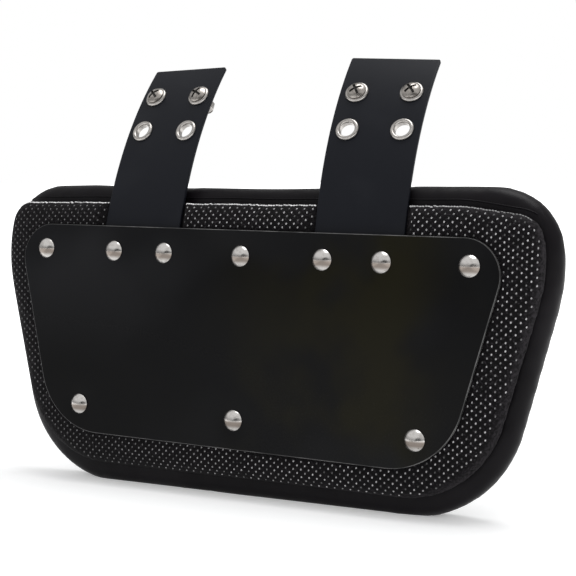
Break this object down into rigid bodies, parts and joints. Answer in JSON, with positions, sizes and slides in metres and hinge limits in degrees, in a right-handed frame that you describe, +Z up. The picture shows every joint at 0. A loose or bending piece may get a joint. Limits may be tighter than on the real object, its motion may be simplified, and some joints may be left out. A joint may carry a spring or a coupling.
{
  "type": "football back plate",
  "caption": "Rounded trapezoid plate riveted over a padded mesh panel with a soft rim, hung on curved straps with eyelets, to guard a football player's lower back.",
  "frame": {"origin": "on the ground under the middle of the bounding box, the part standing on the bottom edge of its rim", "axes": "+X across the plate towards its right-hand side as seen from the front, +Y from the front of the plate to the padding at the back, +Z up"},
  "size_m": [0.334, 0.0668, 0.2333],
  "materials": {
    "plate": "glossy moulded black",
    "strap": "satin blue-black",
    "mesh": "black knit with raised pale dots",
    "rim": "smooth satin-black coated cloth",
    "nickel": "polished nickel plate"
  },
  "bodies": {
    "root": {"back_plate": "plate", "eyelet_left_bolted_inner": "nickel", "eyelet_left_bolted_outer": "nickel", "eyelet_left_open_inner": "nickel", "eyelet_left_open_outer": "nickel", "eyelet_right_bolted_inner": "nickel", "eyelet_right_bolted_outer": "nickel", "eyelet_right_open_inner": "nickel", "eyelet_right_open_outer": "nickel", "mesh_pad": "mesh", "nut_left_bolted_inner": "nickel", "nut_left_bolted_outer": "nickel", "nut_right_bolted_inner": "nickel", "nut_right_bolted_outer": "nickel", "rim_pad": "rim", "rivet_low_1": "nickel", "rivet_low_2": "nickel", "rivet_low_3": "nickel", "rivet_top_1": "nickel", "rivet_top_2": "nickel", "rivet_top_3": "nickel", "rivet_top_4": "nickel", "rivet_top_5": "nickel", "rivet_top_6": "nickel", "rivet_top_7": "nickel", "screw_left_bolted_inner": "nickel", "screw_left_bolted_outer": "nickel", "screw_right_bolted_inner": "nickel", "screw_right_bolted_outer": "nickel", "strap_left": "strap", "strap_right": "strap"}
  },
  "joints": []
}
